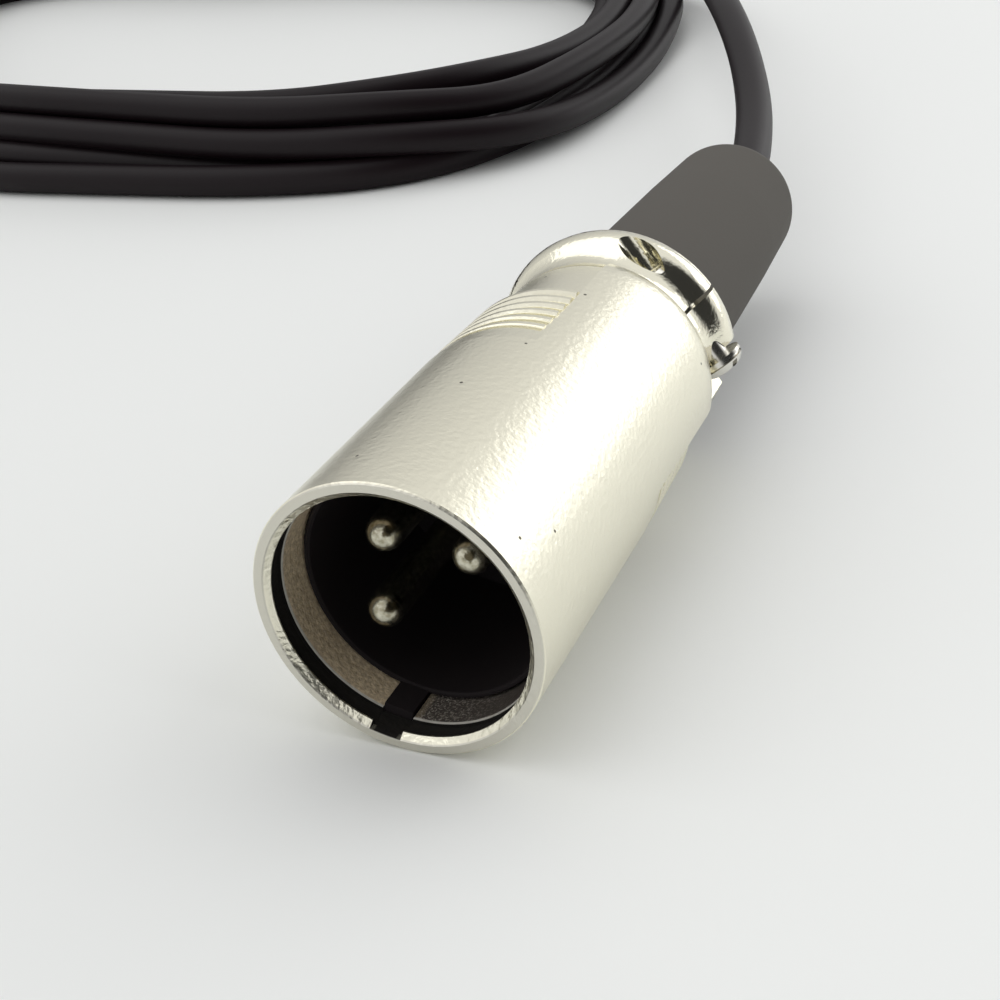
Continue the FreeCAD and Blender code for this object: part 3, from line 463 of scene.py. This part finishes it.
def make_shell_nickel():
    """Satin nickel with a fine cast skin: glossier on the clamp collar, dull and brown inside the mouth,
    with painted shade on the rim's face, in the groove, in the key's slot and on one side of the bore, and
    a painted highlight along the bore's front edge.
    """
    material = new_material("shell_nickel", SHELL_COLOR, BARREL_ROUGH, 1.0)
    tree = material.node_tree
    shader = tree.nodes["Principled BSDF"]
    where = object_coordinates(tree)
    place, radius, station = plug_place(tree, where)
    bore, dark, lip = shell_regions(tree, place, radius, station)
    collar = rise(tree, station, *COLLAR_START)
    color = blend_color(tree, pit_mask(tree, where), (*SHELL_COLOR, 1.0), PIT_COLOR)
    # Painted shade: the rim's face is coloured darker than the rest of the shell.
    color = blend_color(tree, rise(tree, station, *RIM_DEPTH), color, RIM_PAINTED_SHADE)
    color = blend_color(tree, bore, color, bore_colors(tree, where, place, station))
    # Painted shade in the groove and the key's slot.
    color = blend_color(tree, dark, color, GROOVE_PAINTED_SHADE)
    tree.links.new(color, shader.inputs["Base Color"])
    roughness = blend_value(tree, collar, BARREL_ROUGH, COLLAR_ROUGH)
    roughness = blend_value(tree, bore, roughness, BORE_ROUGH)
    roughness = blend_value(tree, dark, roughness, SLOT_ROUGH)
    tree.links.new(roughness, shader.inputs["Roughness"])
    metallic = blend_value(tree, bore, 1.0, BORE_METALLIC)
    metallic = blend_value(tree, dark, metallic, SLOT_METALLIC)
    tree.links.new(metallic, shader.inputs["Metallic"])
    relief = blend_value(tree, collar, BARREL_RELIEF, COLLAR_RELIEF)
    relief = blend_value(tree, calculate(tree, "MAXIMUM", bore, lip), relief, MOUTH_RELIEF)
    bump_from(tree, noise_at(tree, where, *SKIN_NOISE), relief, SKIN_DEPTH)
    return material


def make_pin_silver():
    """Yellowed silver plate, with a painted dark reflection on each dome."""
    material = new_material("pin_silver", PIN_COLOR, 0.27, 1.0)
    tree = material.node_tree
    shader = tree.nodes["Principled BSDF"]
    where = object_coordinates(tree)
    place, radius, station = plug_place(tree, where)
    grain = noise_at(tree, where, *PIN_NOISE)
    nearest = None
    for x, z in PIN_REFLECTION_SPOTS:
        offset = vector_step(tree, "SUBTRACT", place, (x, 0.0, z))
        flat = vector_step(tree, "MULTIPLY", offset, (1.0, 0.0, 1.0))
        distance = vector_step(tree, "LENGTH", flat, (0.0, 0.0, 0.0))
        nearest = distance if nearest is None else calculate(tree, "MINIMUM", nearest, distance)
    ragged = calculate(tree, "ADD", nearest, calculate(tree, "MULTIPLY", grain, 0.5))
    # Painted reflection: a dark ragged patch on each dome.
    painted_reflection = both(tree, rise(tree, ragged, *PIN_REFLECTION_RADIUS), rise(tree, station, *PIN_REFLECTION_BACK))
    tint = blend_color(tree, rise(tree, grain, *PIN_RANGE), (*PIN_DARK, 1.0), (*PIN_COLOR, 1.0))
    color = blend_color(tree, painted_reflection, tint, PIN_PAINTED_REFLECTION)
    tree.links.new(color, shader.inputs["Base Color"])
    bump_from(tree, noise_at(tree, where, *PIN_DENTS), 0.5, PIN_DENT_DEPTH)
    return material


def make_materials():
    materials = {
        "shell_nickel": make_shell_nickel(),
        "insert_black": new_material("insert_black", (0.016, 0.0128, 0.0135), 0.7, specular=0.15),
        "screw_steel": new_material("screw_steel", (0.74, 0.72, 0.66), 0.2, 1.0),
        "pin_silver": make_pin_silver(),
        "solder": new_material("solder", (0.60, 0.60, 0.60), 0.4, 1.0),
        "wire_red": new_material("wire_red", (0.50, 0.03, 0.03), 0.4),
        "wire_white": new_material("wire_white", (0.75, 0.74, 0.70), 0.4),
        "copper": new_material("copper", (0.72, 0.42, 0.26), 0.35, 1.0),
        "boot_rubber": new_material("boot_rubber", (0.095, 0.088, 0.078), 0.8, specular=0.3),
        "cable_jacket": new_material("cable_jacket", (0.0078, 0.0043, 0.0056), 0.46, specular=0.19),
        "jack_black": new_material("jack_black", (0.018, 0.018, 0.018), 0.42),
        "jack_nickel": new_material("jack_nickel", (0.80, 0.79, 0.76), 0.16, 1.0),
        "jack_insulator": new_material("jack_insulator", (0.02, 0.02, 0.02), 0.35),
    }
    add_bump(materials["boot_rubber"], 3.0, 0.3, 0.03 * MM)
    add_bump(materials["cable_jacket"], 0.9, 0.2, 0.03 * MM)
    add_bump(materials["insert_black"], 4.0, 0.2, 0.02 * MM)
    return materials


def dress_nodes(materials):
    slots = {part["node"]: part["material_slot"] for part in frame["record"]["subparts"]}
    for name, node in NODES.items():
        for slot in node.material_slots:
            slot.material = materials[slots[name]]


# Floor, light and camera

def make_floor():
    mesh = bpy.data.meshes.new("floor")
    half = FLOOR_HALF
    corners = [(-half, -half, 0), (half, -half, 0), (half, half, 0), (-half, half, 0)]
    mesh.from_pydata(corners, [], [(0, 1, 2, 3)])
    floor = bpy.data.objects.new("floor", mesh)
    bpy.context.scene.collection.objects.link(floor)
    mesh.materials.append(new_material("floor", FLOOR_COLOR, FLOOR_ROUGH))


def add_light(name, place, target, size, watts, color):
    data = bpy.data.lights.new(name, "AREA")
    data.shape = "RECTANGLE"
    data.size, data.size_y = size
    data.energy = watts
    data.color = color
    light = bpy.data.objects.new(name, data)
    light.location = place
    light.rotation_euler = (Vector(target) - Vector(place)).to_track_quat("-Z", "Y").to_euler()
    bpy.context.scene.collection.objects.link(light)
    return light


def direction_ramp(tree, where, side, stops):
    """Grey levels by how nearly a direction points to a side: stops are cosines and levels."""
    towards = vector_step(tree, "DOT_PRODUCT", where, tuple(Vector(side).normalized()))
    ramp = tree.nodes.new("ShaderNodeValToRGB")
    elements = ramp.color_ramp.elements
    while len(elements) < len(stops):
        elements.new(0.5)
    for element, (position, level) in zip(elements, stops):
        element.position = position
        element.color = (level, level, level, 1.0)
    tree.links.new(towards, ramp.inputs["Fac"])
    return ramp.outputs["Color"]


def make_world():
    world = bpy.data.worlds.new("studio")
    world.use_nodes = True
    tree = world.node_tree
    background = tree.nodes["Background"]
    background.inputs["Strength"].default_value = WORLD_STRENGTH
    where = tree.nodes.new("ShaderNodeTexCoord").outputs["Generated"]
    dim = direction_ramp(tree, where, DIM_SIDE, DIM_STOPS)
    dull = direction_ramp(tree, where, DULL_SIDE, DULL_STOPS)
    light = vector_step(tree, "MULTIPLY", dim, dull)
    tree.links.new(light, background.inputs["Color"])
    bpy.context.scene.world = world


def make_lights():
    """A key from the upper left, a panel behind that the barrel mirrors, and a fill that isn't mirrored."""
    lights = {name: add_light(name, *values) for name, values in LAMPS.items()}
    lights["fill"].visible_glossy = False


def make_camera():
    data = bpy.data.cameras.new("camera")
    data.lens = LENS
    data.sensor_width = SENSOR
    data.clip_start = CLIP_START
    camera = bpy.data.objects.new("camera", data)
    back = -CAMERA_FORWARD.normalized()
    right = CAMERA_UP.cross(back).normalized()
    up = back.cross(right)
    turn = Matrix((right, up, back)).transposed()
    camera.matrix_world = Matrix.Translation(CAMERA_PLACE) @ turn.to_4x4()
    bpy.context.scene.collection.objects.link(camera)
    bpy.context.scene.camera = camera


def put_on(piece, material, slot, *nodes):
    """A new piece rides on the only body and stands for its CAD nodes."""
    piece.data.materials.append(material)
    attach(piece, "root")
    if nodes:
        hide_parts(*nodes)


def main():
    bpy.context.scene.view_settings.view_transform = "Standard"
    make_world()
    make_lights()
    make_floor()
    make_camera()
    materials = make_materials()
    dress_nodes(materials)
    cable = make_cord()
    put_on(cable, materials["cable_jacket"], "cable_jacket", *CORD_NODES)


main()
